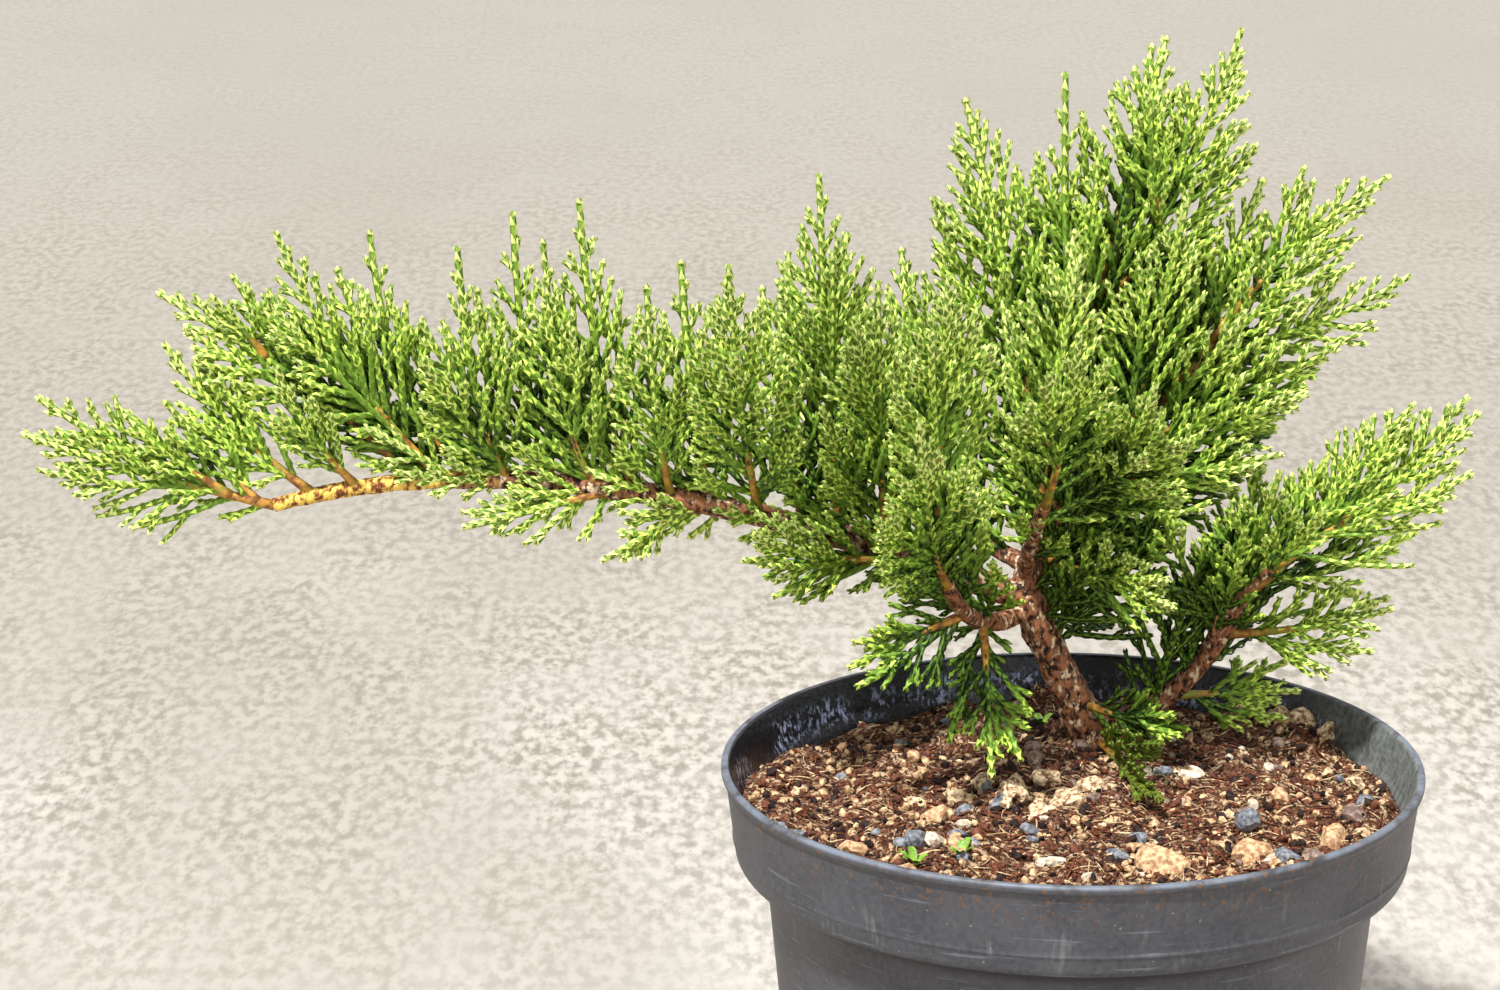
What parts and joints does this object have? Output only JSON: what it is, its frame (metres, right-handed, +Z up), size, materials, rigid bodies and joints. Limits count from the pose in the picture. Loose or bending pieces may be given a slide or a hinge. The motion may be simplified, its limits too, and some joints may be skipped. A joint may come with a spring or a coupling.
{
  "type": "potted conifer",
  "caption": "Young spreading juniper with one long low bough reaching far to one side, in a round dark plastic nursery pot of peaty, gravelly soil.",
  "frame": {"origin": "middle of the pot's flat underside, on the surface that it stands on", "axes": "+Z up, -Y towards the picture's camera, +X to the right, so that the long bough runs out towards -X"},
  "size_m": [0.3506, 0.1848, 0.3032],
  "materials": {
    "pot": "matt charcoal plastic, scuffed and dusty",
    "soil": "loose peat fibre with small pebbles",
    "bark": "rough, flaking bark",
    "foliage": "waxy scale leaves"
  },
  "bodies": {
    "root": {"pot": "pot", "soil": "soil", "trunk": "bark", "bough_top": "bark", "bough_left": "bark", "bough_front_left": "bark", "bough_front_right": "bark", "bough_right_top": "bark", "bough_right": "bark", "bough_right_fork": "bark", "bough_back_left": "bark", "bough_back_right": "bark", "spray_left_tip": "foliage", "spray_left_outer_low": "foliage", "spray_left_outer_fill": "foliage", "spray_left_outer_long": "foliage", "spray_left_outer_spire": "foliage", "spray_left_spire_1": "foliage", "spray_left_spire_2": "foliage", "spray_left_spire_3": "foliage", "spray_left_spire_4": "foliage", "spray_left_spire_5": "foliage", "spray_left_spire_6": "foliage", "spray_left_spire_7": "foliage", "spray_left_front_spire": "foliage", "spray_left_spire_8": "foliage", "spray_left_spire_9": "foliage", "spray_left_inner_front": "foliage", "spray_left_under_long": "foliage", "spray_left_under_short": "foliage", "spray_left_low_front": "foliage", "spray_front_left": "foliage", "spray_front_left_low": "foliage", "spray_front_left_side": "foliage", "spray_front_left_hanging": "foliage", "spray_front_right": "foliage", "spray_centre_front": "foliage", "spray_top_left_spire": "foliage", "spray_top_middle_spire": "foliage", "spray_top_spire": "foliage", "spray_top_right_plume": "foliage", "spray_right_top_front": "foliage", "spray_right_top_spire": "foliage", "spray_right_top_plume": "foliage", "spray_right_outer": "foliage", "spray_right_outer_low": "foliage", "spray_centre_middle": "foliage", "spray_centre_low": "foliage", "spray_right_plume": "foliage", "spray_right_plume_back": "foliage", "spray_right_low": "foliage", "spray_right_rim": "foliage", "spray_foot_sprig": "foliage", "spray_fallen_sprig": "foliage", "spray_back_left": "foliage", "spray_back_left_upper": "foliage", "spray_back_right": "foliage", "spray_back_right_upper": "foliage", "spray_back_right_low": "foliage"}
  },
  "joints": []
}
